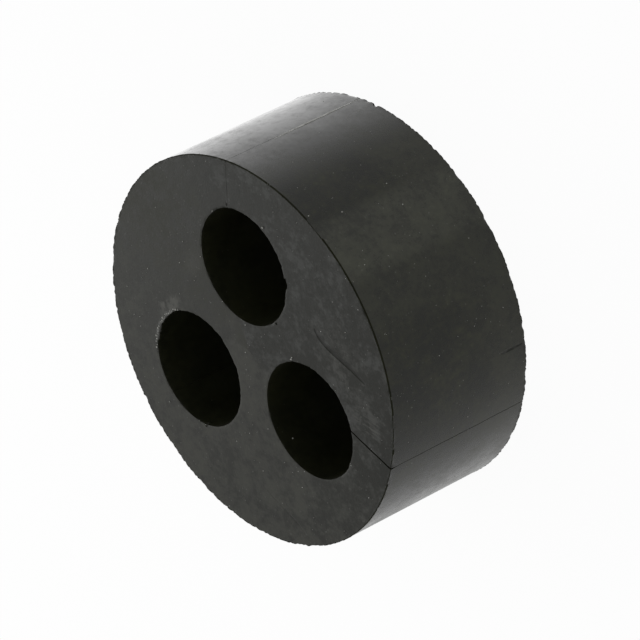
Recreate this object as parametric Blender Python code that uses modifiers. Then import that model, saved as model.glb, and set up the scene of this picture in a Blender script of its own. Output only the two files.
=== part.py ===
"""Sealing insert of a cable gland: a thick rubber disc with three round bores for three cables.

Each bore is slit through to the outer wall, so that a cable which already has its plug on can be
laid in from the side. The slits are straight knife cuts, and each leans a little off its bore's radius.

The disc lies on its back face. Its axis is +Z, the centre of the back face is the origin, and the
first bore is on +Y. Lengths are in metres and angles in degrees, counted anticlockwise from above.
"""

from math import atan2, cos, radians, sin

import bpy
from mathutils import Matrix, Vector

# The disc
OUTER_DIAMETER = 0.0266
THICKNESS = 0.0114
RIM_ROUNDING = 0.00015

# The bores, evenly spaced on one pitch circle
BORE_COUNT = 3
BORE_DIAMETER = 0.0080
PITCH_CIRCLE_DIAMETER = 0.01225
FIRST_BORE_ANGLE = 90.0

# Where each slit leaves its bore: a turn about the bore's centre, from the bore's outward radius
SLIT_START_TURNS = (13.5, 14.5, 40.0)

# Where each slit reaches the outer wall: a turn about the disc's centre, from the same radius
SLIT_END_TURNS = (3.3, 4.0, 13.5)

# How wide the slits stand: the first two have closed again, and the third gapes a little
CLOSED_SLIT_WIDTH = 0.00010
OPEN_SLIT_WIDTH = 0.00016
SLIT_WIDTHS = (CLOSED_SLIT_WIDTH, CLOSED_SLIT_WIDTH, OPEN_SLIT_WIDTH)

# How far a cutter runs past what it cuts
CUTTER_OVERRUN = 0.001

# Facets of the round walls and of the rounded rim
DISC_SIDES = 144
BORE_SIDES = 72
RIM_SEGMENTS = 3

# Black rubber
RUBBER_COLOUR = (0.050, 0.050, 0.047, 1.0)
RUBBER_ROUGHNESS = 0.62
RUBBER_METALLIC = 0.0


def clear_scene():
    """Remove the objects that are in the scene."""
    for obj in list(bpy.data.objects):
        bpy.data.objects.remove(obj, do_unlink=True)


def new_collection(name):
    """Add an empty collection to the scene."""
    collection = bpy.data.collections.new(name)
    bpy.context.scene.collection.children.link(collection)
    return collection


def move_to(obj, collection):
    """Keep an object in one collection only."""
    for old in list(obj.users_collection):
        old.objects.unlink(obj)
    collection.objects.link(obj)


def on_circle(radius, angle):
    """A point of the plane z = 0, at a radius and an angle from the disc's axis."""
    return Vector((radius * cos(radians(angle)), radius * sin(radians(angle)), 0.0))


def bore_angle(index):
    """Where a bore sits round the disc's axis."""
    return FIRST_BORE_ANGLE + index * 360.0 / BORE_COUNT


def bore_centre(index):
    """The centre of a bore, on the back face."""
    return on_circle(PITCH_CIRCLE_DIAMETER / 2, bore_angle(index))


def add_cylinder(name, diameter, height, sides, bottom, collection):
    """A closed cylinder that stands on a point, with a smooth wall and flat ends."""
    bpy.ops.mesh.primitive_cylinder_add(
        vertices=sides,
        radius=diameter / 2,
        depth=height,
        location=bottom + Vector((0.0, 0.0, height / 2)),
    )
    cylinder = bpy.context.object
    cylinder.name = name
    cylinder.data.name = name
    for face in cylinder.data.polygons:
        face.use_smooth = abs(face.normal.z) < 0.5
    move_to(cylinder, collection)
    return cylinder


def make_cutter(obj):
    """Show an object as a wire cage that never renders."""
    obj.display_type = "WIRE"
    obj.hide_render = True
    return obj


def bore_cutter(index, collection):
    """A cylinder for one bore, longer than the disc is thick."""
    bottom = bore_centre(index) - Vector((0.0, 0.0, CUTTER_OVERRUN))
    height = THICKNESS + 2 * CUTTER_OVERRUN
    cutter = add_cylinder(f"bore_cutter_{index + 1}", BORE_DIAMETER, height, BORE_SIDES, bottom, collection)
    return make_cutter(cutter)


def slit_ends(index):
    """The two points of a slit on the back face: on its bore's wall and on the disc's outer wall."""
    turn = index % len(SLIT_START_TURNS)
    start = bore_centre(index) + on_circle(BORE_DIAMETER / 2, bore_angle(index) + SLIT_START_TURNS[turn])
    end = on_circle(OUTER_DIAMETER / 2, bore_angle(index) + SLIT_END_TURNS[turn])
    return start, end


def slit_cutter(index, collection):
    """A thin upright blade, from inside the bore to beyond the outer wall."""
    start, end = slit_ends(index)
    run = (end - start).normalized()
    inner = start - run * BORE_DIAMETER / 4
    outer = end + run * CUTTER_OVERRUN
    length = (outer - inner).length
    width = SLIT_WIDTHS[index % len(SLIT_WIDTHS)]
    height = THICKNESS + 2 * CUTTER_OVERRUN
    bpy.ops.mesh.primitive_cube_add(size=1.0)
    blade = bpy.context.object
    blade.name = f"slit_cutter_{index + 1}"
    blade.data.name = blade.name
    blade.data.transform(Matrix.Diagonal((length, width, height, 1.0)))
    blade.location = (inner + outer) / 2 + Vector((0.0, 0.0, THICKNESS / 2))
    blade.rotation_euler.z = atan2(run.y, run.x)
    move_to(blade, collection)
    return make_cutter(blade)


def round_rims(disc):
    """Round the disc's two outer rims, its only sharp edges before the cuts."""
    bevel = disc.modifiers.new("rounded_rims", "BEVEL")
    bevel.limit_method = "ANGLE"
    bevel.angle_limit = radians(45.0)
    bevel.width = RIM_ROUNDING
    bevel.segments = RIM_SEGMENTS


def cut(disc, cutter):
    """Take a cutter's shape out of the disc."""
    boolean = disc.modifiers.new(cutter.name, "BOOLEAN")
    boolean.operation = "DIFFERENCE"
    boolean.solver = "EXACT"
    boolean.object = cutter


def rubber_material():
    """Black rubber, dull and a little dusty."""
    material = bpy.data.materials.new("black_rubber")
    material.use_nodes = True
    shader = material.node_tree.nodes["Principled BSDF"]
    shader.inputs["Base Color"].default_value = RUBBER_COLOUR
    shader.inputs["Roughness"].default_value = RUBBER_ROUGHNESS
    shader.inputs["Metallic"].default_value = RUBBER_METALLIC
    return material


def sealing_insert(parts, cutters):
    """The disc with its rims rounded, its bores cut and each bore slit open to the outer wall."""
    back_centre = Vector((0.0, 0.0, 0.0))
    disc = add_cylinder("sealing_insert", OUTER_DIAMETER, THICKNESS, DISC_SIDES, back_centre, parts)
    disc.data.materials.append(rubber_material())
    round_rims(disc)
    for index in range(BORE_COUNT):
        cut(disc, bore_cutter(index, cutters))
    for index in range(BORE_COUNT):
        cut(disc, slit_cutter(index, cutters))
    return disc


def main():
    clear_scene()
    parts = new_collection("cable_gland_sealing_insert")
    cutters = new_collection("cutters")
    sealing_insert(parts, cutters)


main()
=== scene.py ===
# %% [markdown]
# # A rubber sealing insert for a cable gland
#
# The real thing is one thick disc of black rubber with three bores, one for each cable. It sits in
# the body of a cable gland, and the gland's nut squeezes it on to the cables. Each bore is slit
# through to the outer wall with a knife, so that a cable that already has its plug on can be laid in.
#
# Nothing on it is painted or fitted, so all that the eye has to go by is the shape of its edges, the
# few cuts and nicks, and how dusty black rubber takes the light. Those are the steps below.

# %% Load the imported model
from math import cos, pi, radians, sin

import bpy
from mathutils import Matrix, Vector


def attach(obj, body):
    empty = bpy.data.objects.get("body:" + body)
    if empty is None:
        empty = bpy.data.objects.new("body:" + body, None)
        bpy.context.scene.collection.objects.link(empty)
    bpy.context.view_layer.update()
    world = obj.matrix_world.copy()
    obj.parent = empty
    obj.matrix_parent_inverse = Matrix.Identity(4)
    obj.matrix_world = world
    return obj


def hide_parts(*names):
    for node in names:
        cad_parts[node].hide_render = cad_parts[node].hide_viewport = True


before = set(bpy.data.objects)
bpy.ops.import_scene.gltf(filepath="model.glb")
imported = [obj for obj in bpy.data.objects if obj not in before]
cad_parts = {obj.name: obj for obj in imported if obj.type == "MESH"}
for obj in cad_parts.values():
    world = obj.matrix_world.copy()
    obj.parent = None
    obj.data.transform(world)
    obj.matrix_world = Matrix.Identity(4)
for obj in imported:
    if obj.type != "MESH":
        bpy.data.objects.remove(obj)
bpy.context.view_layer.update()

# %% [markdown]
# ## The sizes
#
# A shape this simple stands or falls with its proportions, so the sizes come first, each written
# once. They could be measured from the CAD mesh, but named numbers are easier to read and to change.
# Everything is in millimetres, because the worn edges are tenths and hundredths of a millimetre deep
# and such numbers are hard to read in metres. One last step brings the finished mesh to metres.

# %% Sizes of the insert
MM = 0.001
OUTER_DIAMETER = 26.6
THICKNESS = 11.4
BORE_COUNT = 3
BORE_DIAMETER = 8.0
PITCH_CIRCLE = 12.25
FIRST_BORE_ANGLE = 90.0

# How far each bore is off its regular place, and its size against the regular one
BORE_SHIFTS = ((0.06, -0.065, 0.0), (0.0, -0.06, 0.0), (0.0, 0.0, 0.0))
BORE_SCALES = (0.990, 1.0, 0.9975)

OUTER_RADIUS = OUTER_DIAMETER / 2
BORE_RADIUS = BORE_DIAMETER / 2


def on_circle(radius, angle, height=0.0):
    """A point at a radius, an angle in degrees and a height."""
    return Vector((radius * cos(radians(angle)), radius * sin(radians(angle)), height))


def bore_angle(index):
    """Where a bore sits round the disc's axis."""
    return FIRST_BORE_ANGLE + index * 360.0 / BORE_COUNT


def by_bore(index, radius, turn, height=0.0):
    """A point given from a bore's centre, by a radius and a turn from the bore's outward direction."""
    centre = on_circle(PITCH_CIRCLE / 2, bore_angle(index))
    return centre + on_circle(radius, bore_angle(index) + turn, height)


for index in range(BORE_COUNT):
    centre = by_bore(index, 0.0, 0.0)
    print(f"bore {index + 1}: centre {centre.x:.2f}, {centre.y:.2f} mm")

# %% [markdown]
# ## Helpers for node trees
#
# The mesh and the materials are both made with node trees, and wiring nodes one by one fills pages.
# Two small helpers keep it short. `Tree` adds a node and fills its sockets in one line. `Field` wraps
# one output socket, so that `a * b + 1` adds the Math nodes by itself, and a formula in the script
# reads like the formula it stands for.


# %% Fields: sockets that can be added and multiplied
class Field:
    """An output socket that takes part in Python arithmetic by adding Math nodes."""

    def __init__(self, tree, socket):
        self.tree = tree
        self.socket = socket

    def math(self, operation, *others, clamp=False):
        node = self.tree.group.nodes.new("ShaderNodeMath")
        node.operation = operation
        node.use_clamp = clamp
        for socket, value in zip(node.inputs, (self, *others)):
            self.tree.plug(socket, value)
        return Field(self.tree, node.outputs[0])

    def __add__(self, other):
        return self.math("ADD", other)

    def __sub__(self, other):
        return self.math("SUBTRACT", other)

    def __mul__(self, other):
        return self.math("MULTIPLY", other)

    def __truediv__(self, other):
        return self.math("DIVIDE", other)

    def __pow__(self, other):
        return self.math("POWER", other)

    __radd__ = __add__
    __rmul__ = __mul__

    def __rsub__(self, other):
        return (self * -1.0) + other

    def __rtruediv__(self, other):
        return (self ** -1.0) * other

    def clamped(self):
        """Held between 0 and 1."""
        return self.math("ADD", 0.0, clamp=True)


# %% Trees: nodes added and wired in one line
SOCKET_KINDS = {
    "float": "NodeSocketFloat",
    "int": "NodeSocketInt",
    "vector": "NodeSocketVector",
    "colour": "NodeSocketColor",
    "geometry": "NodeSocketGeometry",
}


class Tree:
    """A node tree that is being built."""

    def __init__(self, group):
        self.group = group

    def plug(self, socket, value):
        """Fill an input with a link from a field, or with a plain value."""
        if isinstance(value, Field):
            self.group.links.new(value.socket, socket)
        else:
            socket.default_value = value

    def add(self, kind, fills=None, **settings):
        """Add a node, give it its settings and fill its inputs, by name or by number."""
        node = self.group.nodes.new(kind)
        for name, value in settings.items():
            setattr(node, name, value)
        for key, value in (fills or {}).items():
            self.plug(node.inputs[key], value)
        return node

    def field(self, kind, fills=None, output=0, **settings):
        """Add a node and take one of its outputs as a field."""
        return Field(self, self.add(kind, fills, **settings).outputs[output])

    def vector(self, operation, *values, output=0):
        """Vector arithmetic."""
        return self.field("ShaderNodeVectorMath", dict(enumerate(values)), output, operation=operation)

    def split(self, vector):
        """The three parts of a vector."""
        node = self.add("ShaderNodeSeparateXYZ", {0: vector})
        return [Field(self, socket) for socket in node.outputs]

    def join(self, x, y, z):
        """A vector from its three parts."""
        return self.field("ShaderNodeCombineXYZ", {0: x, 1: y, 2: z})

    def ramp(self, value, low, high):
        """A smooth step from 0 at the low value to 1 at the high one."""
        fills = {"Value": value, "From Min": low, "From Max": high}
        return self.field("ShaderNodeMapRange", fills, interpolation_type="SMOOTHSTEP")

    def noise(self, vector, scale, detail=2.0, roughness=0.5, distortion=0.0):
        """Cloudy noise between 0 and 1, with a pattern size in turns per unit of length."""
        fills = {
            "Vector": vector,
            "Scale": scale,
            "Detail": detail,
            "Roughness": roughness,
            "Distortion": distortion,
        }
        return self.field("ShaderNodeTexNoise", fills)


def new_tree(name, kind, inputs, outputs):
    """A node group with named inputs and outputs, the fields of its inputs, and its output node."""
    group = bpy.data.node_groups.new(name, kind)
    for way, sockets in (("INPUT", inputs), ("OUTPUT", outputs)):
        for label, (socket_kind, *default) in sockets.items():
            made = group.interface.new_socket(label, in_out=way, socket_type=SOCKET_KINDS[socket_kind])
            if default:
                made.default_value = default[0]
    tree = Tree(group)
    entry = tree.add("NodeGroupInput")
    given = {label: Field(tree, entry.outputs[label]) for label in inputs}
    return tree, given, tree.add("NodeGroupOutput")


# %% [markdown]
# ## One turned wall
#
# The outer wall and the three bores are the same thing four times: a wall that is straight from one
# flat face to the other, with a sharp rim at each end. A primitive cylinder would do for the shape,
# but it has no vertices near its rims, so nothing could be worn there. Here a flat grid is rolled
# into a tube instead. Its rows lie close together at the rims and far apart in between, and it turns
# the corner on to the faces by a narrow band. Each vertex also stores how far it is from the rim,
# for the step that wears the rims down.


# %% The group that rolls a grid into a wall
# How much closer the rows lie at a rim than away from it, on the faces and on the wall
BAND_CROWDING = 1.5
WALL_CROWDING = 2.0


def turned_wall_group():
    """A tube with two rims and a band of each flat face, made from a rolled grid."""
    inputs = {
        "Radius": ("float", 1.0),
        "Height": ("float", 1.0),
        "Band": ("float", 0.5),
        "Columns": ("int", 100),
        "Band Rows": ("int", 6),
        "Wall Rows": ("int", 28),
        "Wear": ("float", 0.03),
    }
    tree, given, out = new_tree("Turned Wall", "GeometryNodeTree", inputs, {"Wall": ("geometry",)})
    columns = given["Columns"]
    band_rows = given["Band Rows"]
    wall_rows = given["Wall Rows"]
    rows = band_rows * 2.0 + wall_rows
    sizes = {"Size X": 1.0, "Size Y": 1.0, "Vertices X": columns + 1.0, "Vertices Y": rows + 1.0}
    grid = tree.field("GeometryNodeMeshGrid", sizes)
    across, along, _ = tree.split(tree.field("GeometryNodeInputPosition"))
    angle = (across + 0.5) * (2.0 * pi)
    row = (along + 0.5) * rows

    # The front band's rows, then the wall's, then the back band's
    front = ((band_rows - row).math("MAXIMUM", 0.0) / band_rows) ** BAND_CROWDING
    back = ((row - band_rows - wall_rows).math("MAXIMUM", 0.0) / band_rows) ** BAND_CROWDING
    level = 1.0 - ((row - band_rows) / wall_rows).clamped() * 2.0
    from_rim = (1.0 - level.math("ABSOLUTE")) ** WALL_CROWDING
    in_band = (front + back) * given["Band"]
    radius = given["Radius"] + in_band
    half = given["Height"] * 0.5
    height = half + half * level.math("SIGN") * (1.0 - from_rim)
    place = tree.join(radius * angle.math("COSINE"), radius * angle.math("SINE"), height)
    rim_distance = from_rim * half + in_band.math("ABSOLUTE")

    wall = tree.field("GeometryNodeStoreNamedAttribute", {0: grid, "Name": "rim", "Value": rim_distance})
    wall = tree.field("GeometryNodeStoreNamedAttribute", {0: wall, "Name": "wear", "Value": given["Wear"]})
    wall = tree.field("GeometryNodeSetPosition", {"Geometry": wall, "Position": place})
    tree.plug(out.inputs["Wall"], wall)
    return tree.group


TURNED_WALL = turned_wall_group()
print("made the group", TURNED_WALL.name)

# %% [markdown]
# ## The body without its cuts
#
# The outer wall is rolled once. The bore is rolled once too and set on each point of a circle, so
# the count of bores is a number and not a copy. The flat of each face is one filled curve: the circle
# where the outer band ends, with the circles where the bores' bands end as holes in it. The circles
# have the walls' own column count, so merging by distance closes the body.
#
# Then the rims are worn. Wherever the photograph shows them, both outer rims are nibbled, as if the
# insert had been cut from a longer rod, and the rims of the bores much less. A bevel would be too even
# for that. So each vertex near a rim goes in along its normal, by an amount that falls off with its
# distance from the rim and that noise makes uneven. The amount is made of three things: fine teeth all
# the way round, small nibbles, and broad chips. One bore has a thin lip pushed up on its front rim,
# and there the same vertices go out instead.


# %% The lip and the wear
# The lip: its direction from the bore's centre, half its spread, its width and how far out it reaches
LIP_ANGLE = 147.0
LIP_SPREAD = radians(30.0)
LIP_WIDTH = 0.22
LIP_REACH = 0.4

# A rim with more wear than this is an outer one
RIM_WEAR = 0.09

# Shares of the wear: teeth, teeth inside a chip, nibbles, chips, and how far an outer rim stands proud
TEETH_SHARE = 0.15
CHIPPED_TEETH_SHARE = 0.3
NIBBLE_SHARE = 0.5
CHIP_SHARE = 0.45
PROUD_SHARE = 0.30

# How far apart vertices may lie and still be merged where the parts of the body meet
MERGE_DISTANCE = 0.001


# %% The group that makes the body
def body_group():
    """The insert with its bores and its worn rims, in millimetres."""
    inputs = {
        "Outer Diameter": ("float", OUTER_DIAMETER),
        "Thickness": ("float", THICKNESS),
        "Bore Diameter": ("float", BORE_DIAMETER),
        "Pitch Circle": ("float", PITCH_CIRCLE),
        "Bore Count": ("int", BORE_COUNT),
        "First Bore Angle": ("float", radians(FIRST_BORE_ANGLE)),
        "Outer Columns": ("int", 840),
        "Bore Columns": ("int", 240),
        "Outer Band": ("float", 0.6),
        "Bore Band": ("float", 0.5),
        "Outer Wear": ("float", 0.12),
        "Bore Wear": ("float", 0.08),
        "Wear Reach": ("float", 0.16),
        "Teeth": ("float", 146.0),
        "Teeth Drift": ("float", 20.0),
        "Lip Height": ("float", 0.05),
        "Lip Direction": ("vector", tuple(on_circle(1.0, LIP_ANGLE))),
        "Lip Spread": ("float", LIP_SPREAD),
    }
    for index in range(BORE_COUNT):
        inputs[f"Bore {index + 1} Shift"] = ("vector", BORE_SHIFTS[index])
        inputs[f"Bore {index + 1} Scale"] = ("float", BORE_SCALES[index])
    tree, given, out = new_tree("Insert Body", "GeometryNodeTree", inputs, {"Body": ("geometry",)})
    outer_radius = given["Outer Diameter"] * 0.5
    bore_radius = given["Bore Diameter"] * 0.5
    height = given["Thickness"]

    def turned(radius, band, columns, wear):
        fills = {"Radius": radius, "Height": height, "Band": band, "Columns": columns, "Wear": wear}
        return tree.field("GeometryNodeGroup", fills, node_tree=TURNED_WALL)

    outer = turned(outer_radius, given["Outer Band"] * -1.0, given["Outer Columns"], given["Outer Wear"])
    outer = tree.field("GeometryNodeFlipFaces", {"Mesh": outer})
    bore = turned(bore_radius, given["Bore Band"], given["Bore Columns"], given["Bore Wear"])

    # One point for each bore, round the pitch circle
    circle = {"Vertices": given["Bore Count"], "Radius": given["Pitch Circle"] * 0.5}
    ring = tree.field("GeometryNodeMeshCircle", circle)
    turn = tree.join(0.0, 0.0, given["First Bore Angle"])
    ring = tree.field("GeometryNodeTransform", {"Geometry": ring, "Rotation": turn})
    number = tree.field("GeometryNodeInputIndex")
    widening = 1.0
    for index in range(BORE_COUNT):
        this_one = number.math("COMPARE", float(index), 0.5)
        fills = {"Geometry": ring, "Selection": this_one, "Offset": given[f"Bore {index + 1} Shift"]}
        ring = tree.field("GeometryNodeSetPosition", fills)
        widening = this_one * (given[f"Bore {index + 1} Scale"] - 1.0) + widening
    widening = tree.join(widening, widening, 1.0)
    fills = {"Points": ring, "Instance": bore, "Scale": widening}
    bores = tree.field("GeometryNodeInstanceOnPoints", fills)

    # The flat of a face, with a hole for each bore
    edge = tree.field(
        "GeometryNodeCurvePrimitiveCircle",
        {"Resolution": given["Outer Columns"], "Radius": outer_radius - given["Outer Band"]},
    )
    hole = tree.field(
        "GeometryNodeCurvePrimitiveCircle",
        {"Resolution": given["Bore Columns"], "Radius": bore_radius + given["Bore Band"]},
    )
    holes = tree.field("GeometryNodeInstanceOnPoints", {"Points": ring, "Instance": hole, "Scale": widening})
    outline = tree.add("GeometryNodeJoinGeometry")
    for part in (edge, holes):
        tree.plug(outline.inputs[0], part)
    outline = tree.field("GeometryNodeRealizeInstances", {0: Field(tree, outline.outputs[0])})
    flat = tree.field("GeometryNodeFillCurve", {0: outline}, mode="TRIANGLES")
    lift = tree.join(0.0, 0.0, height)
    front = tree.field("GeometryNodeTransform", {"Geometry": flat, "Translation": lift})
    back = tree.field("GeometryNodeFlipFaces", {"Mesh": flat})

    # Close the body
    joined = tree.add("GeometryNodeJoinGeometry")
    for part in (outer, bores, front, back):
        tree.plug(joined.inputs[0], part)
    body = tree.field("GeometryNodeRealizeInstances", {0: Field(tree, joined.outputs[0])})
    body = tree.field("GeometryNodeMergeByDistance", {"Geometry": body, "Distance": MERGE_DISTANCE})

    # Wear the rims
    place = tree.field("GeometryNodeInputPosition")
    normal = tree.field("GeometryNodeInputNormal")
    rim = tree.field("GeometryNodeInputNamedAttribute", {"Name": "rim"})
    wear = tree.field("GeometryNodeInputNamedAttribute", {"Name": "wear"})
    near = (1.0 - rim / given["Wear Reach"]).clamped() ** 2.0
    on_wall = rim.math("GREATER_THAN", 0.0).math("MAXIMUM", wear.math("GREATER_THAN", 0.0))
    x, y, _ = tree.split(place)
    phase = y.math("ARCTAN2", x) * given["Teeth"] + tree.noise(place, 0.8) * given["Teeth Drift"]
    teeth = phase.math("SINE") * 0.5 + 0.5
    nibbles = tree.ramp(tree.noise(place, 3.2, detail=3.0, roughness=0.65), 0.42, 0.72)
    chips = tree.ramp(tree.noise(place, 0.9, detail=1.0), 0.52, 0.75)
    proud = PROUD_SHARE * wear.math("GREATER_THAN", RIM_WEAR)
    teeth = teeth * (chips * CHIPPED_TEETH_SHARE + TEETH_SHARE)
    depth = wear * (teeth + nibbles * NIBBLE_SHARE + chips * CHIP_SHARE - proud)

    # The lip on one bore's front rim
    from_bore = tree.vector("SUBTRACT", place, tuple(by_bore(1, 0.0, 0.0)))
    spoke = tree.vector("MULTIPLY", from_bore, (1.0, 1.0, 0.0))
    reach = tree.vector("LENGTH", spoke, output="Value")
    toward = tree.vector("DOT_PRODUCT", spoke, given["Lip Direction"], output="Value") / reach
    spread = given["Lip Spread"].math("COSINE")
    lip = tree.ramp(toward, spread, 1.0 - (1.0 - spread) * 0.3)
    lip = lip * reach.math("LESS_THAN", BORE_RADIUS + LIP_REACH)
    _, _, level = tree.split(place)
    lip = lip * (1.0 - rim / LIP_WIDTH).clamped() * level.math("GREATER_THAN", THICKNESS / 2)
    burr = tree.ramp(tree.noise(place, 5.5, detail=2.0), 0.35, 0.60) * 1.3
    fills = {0: body, "Name": "lip", "Value": lip * burr * on_wall}
    body = tree.field("GeometryNodeStoreNamedAttribute", fills)

    shift = tree.vector("SCALE", normal)
    outward = lip * burr * given["Lip Height"] - near * depth
    tree.plug(shift.socket.node.inputs["Scale"], on_wall * outward)
    body = tree.field("GeometryNodeSetPosition", {"Geometry": body, "Offset": shift})
    tree.plug(out.inputs["Body"], body)
    return tree.group


BODY = body_group()
print("made the group", BODY.name)

# %% [markdown]
# ## The cuts
#
# Each bore is slit to the outer wall by one straight stroke of a knife. One slit gapes a little and
# reads as a thin black line, and the other two have closed again and hardly show. They are real
# cuts here, because a painted line would have no depth at the rim and the wall. The knife is a thin
# blade with enough vertices to wander a few hundredths of a millimetre, as a hand-held one does. It
# has one width near the front face and another below it, since the real slits do not stand equally
# open on the face and on the wall.


# %% Where the slits run
SLIT_START_TURNS = (13.5, 14.5, 40.0)
SLIT_END_TURNS = (3.3, 4.0, 13.5)
SLIT_FACE_WIDTHS = (0.020, 0.003, 0.120)
SLIT_WALL_WIDTHS = (0.026, 0.016, 0.045)
SLIT_OVERRUN = 0.5


def slit_ends(index):
    """Where a slit leaves its bore and where it reaches the outer wall."""
    start = by_bore(index, BORE_RADIUS, SLIT_START_TURNS[index])
    end = on_circle(OUTER_RADIUS, bore_angle(index) + SLIT_END_TURNS[index])
    return start, end


for index in range(BORE_COUNT):
    start, end = slit_ends(index)
    widths = (SLIT_FACE_WIDTHS[index], SLIT_WALL_WIDTHS[index])
    print(f"slit {index + 1}: {(end - start).length:.2f} mm long, {widths[0]} mm wide on the face,", end=" ")
    print(widths[1], "mm below")


# %% The group that makes one blade
def blade_group():
    """A thin upright blade along X, as long as the slit and its overrun, that wanders a little."""
    inputs = {
        "Length": ("float", 6.0),
        "Height": ("float", 13.0),
        "Face Width": ("float", 0.05),
        "Wall Width": ("float", 0.05),
        "Wander": ("float", 0.05),
        "Seed": ("float", 0.0),
    }
    tree, given, out = new_tree("Knife Blade", "GeometryNodeTree", inputs, {"Blade": ("geometry",)})
    size = tree.join(given["Length"], 1.0, given["Height"])
    fills = {"Size": size, "Vertices X": 70, "Vertices Y": 2, "Vertices Z": 60}
    blade = tree.field("GeometryNodeMeshCube", fills)
    along, side, level = tree.split(tree.field("GeometryNodeInputPosition"))
    spot = tree.join(along, given["Seed"], level)
    bend = (tree.noise(spot, 0.7, detail=2.0) - 0.5) * given["Wander"] * 2.0
    above = level / (given["Height"] * 0.5)
    at_face = tree.ramp(above, 0.83, 0.91)
    width = given["Wall Width"] + at_face * (given["Face Width"] - given["Wall Width"])
    gape = width * (tree.noise(spot, 1.3, detail=2.0) * 0.8 + 0.6)
    place = tree.join(along, side * gape + bend, level)
    blade = tree.field("GeometryNodeSetPosition", {"Geometry": blade, "Position": place})
    tree.plug(out.inputs["Blade"], blade)
    return tree.group


BLADE = blade_group()
print("made the group", BLADE.name)

# %% [markdown]
# ## Marks that tell this insert from a perfect one
#
# This insert looks handled. A shallow crease crosses the front face between the first and the
# third bore, a fainter one runs from between the lower bores to the rim, and there is a short one on
# the wall. Two bore rims and the back rim have a nick, and the front face has two pin holes. A texture
# could draw them as dark lines, but they are shaped here, so that they turn with the light. A crease
# is a tube along a bent curve that runs above the surface and only dips into it by a few hundredths of
# a millimetre, so that it is wide, shallow and fades out at its ends. A nick is a small lump of noise.
# Both are taken out of the body, and the first crease also gets a darker finish, which is painted shade. The
# first slit has a thin pale line along it on the wall. What it is made of does not show, so a low ridge is a
# guess: the same kind of tube, left standing, in a pale finish that is a painted highlight.


# %% The groups that make a crease and a nick
def crease_group():
    """A bent tube whose ends are thinner than its middle."""
    inputs = {
        "Start": ("vector", (0.0, 0.0, 0.0)),
        "Start Handle": ("vector", (0.5, 0.5, 0.0)),
        "End Handle": ("vector", (1.5, -0.5, 0.0)),
        "End": ("vector", (2.0, 0.0, 0.0)),
        "Radius": ("float", 0.3),
        "Depth": ("float", 0.03),
    }
    tree, given, out = new_tree("Crease", "GeometryNodeTree", inputs, {"Crease": ("geometry",)})
    run = {"Resolution": 40}
    run.update({label: given[label] for label in ("Start", "Start Handle", "End Handle", "End")})
    path = tree.field("GeometryNodeCurvePrimitiveBezierSegment", run)
    path = tree.field("GeometryNodeResampleCurve", {"Curve": path, "Count": 60})
    factor = tree.field("GeometryNodeSplineParameter")
    taper = (factor * (1.0 - factor) * 4.0).math("MAXIMUM", 0.0) ** 0.5
    ragged = tree.noise(tree.field("GeometryNodeInputPosition"), 1.6) * 0.8 + 0.6
    radius = given["Radius"] + given["Depth"] * (taper * ragged - 1.0)
    profile = tree.field("GeometryNodeCurvePrimitiveCircle", {"Resolution": 40, "Radius": 1.0})
    tube = tree.field(
        "GeometryNodeCurveToMesh",
        {"Curve": path, "Profile Curve": profile, "Scale": radius, "Fill Caps": True},
    )
    tree.plug(out.inputs["Crease"], tube)
    return tree.group


def nick_group():
    """A small ragged lump, as long, wide and high as its size says."""
    inputs = {"Centre": ("vector", (0.0, 0.0, 0.0)), "Size": ("vector", (0.3, 0.2, 0.3))}
    tree, given, out = new_tree("Nick", "GeometryNodeTree", inputs, {"Nick": ("geometry",)})
    ball = tree.field("GeometryNodeMeshIcoSphere", {"Radius": 0.5, "Subdivisions": 3})
    place = tree.field("GeometryNodeInputPosition")
    rough = tree.noise(tree.vector("ADD", place, given["Centre"]), 3.5, detail=2.0) * 0.9 + 0.55
    shifted = tree.vector("SCALE", place)
    tree.plug(shifted.socket.node.inputs["Scale"], rough)
    ball = tree.field("GeometryNodeSetPosition", {"Geometry": ball, "Position": shifted})
    fills = {"Geometry": ball, "Translation": given["Centre"], "Scale": given["Size"]}
    tree.plug(out.inputs["Nick"], tree.field("GeometryNodeTransform", fills))
    return tree.group


CREASE = crease_group()
NICK = nick_group()

# %% Where the marks are
BACK_NOTCH_ANGLE = 86.7
FACE_CREASES = (
    {
        "run": ((6.50, 4.00), (7.00, 2.75), (8.60, 2.95), (11.0, 1.55)),
        "radius": 0.38,
        "depth": 0.050,
        "finish": "crease_shade",
    },
    {
        "run": ((0.0, -9.54), (1.2, -10.4), (3.0, -10.9), (4.28, -12.04)),
        "radius": 0.40,
        "depth": 0.014,
        "finish": "rubber_face",
    },
)
WALL_MARK_ANGLE = 2.8
WALL_MARK = {
    "run": ((0.25, 0.0), (0.9, 0.15), (1.5, -0.15), (2.1, 0.0)),
    "radius": 0.20,
    "depth": 0.022,
    "finish": "rubber_face",
}

# The nicks: centre and size
NICKS = {
    "rim of the first bore": (by_bore(0, BORE_RADIUS + 0.06, -88.6, THICKNESS), (0.34, 0.85, 0.70)),
    "rim of the second bore": (by_bore(1, BORE_RADIUS + 0.05, 63.0, THICKNESS), (0.30, 0.44, 0.60)),
    "back rim": (on_circle(OUTER_RADIUS + 0.03, BACK_NOTCH_ANGLE, 0.0), (0.45, 0.40, 0.45)),
    "pin hole over the first bore": ((-1.04, 10.15, THICKNESS), (0.09, 0.28, 0.14)),
    "pin hole under the first bore": ((2.85, 3.02, THICKNESS), (0.20, 0.20, 0.22)),
}


def face_crease(run, radius, depth, finish):
    """A crease's points over the front face, as high as its radius less its depth."""
    return [(x, y, THICKNESS + radius - depth) for x, y in run], radius, depth, finish


def wall_crease(run, radius, depth, finish):
    """A crease's points outside the wall, given by height and by a small turn."""
    away = OUTER_RADIUS + radius - depth
    points = [tuple(on_circle(away, WALL_MARK_ANGLE + turn, height)) for height, turn in run]
    return points, radius, depth, finish


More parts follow.
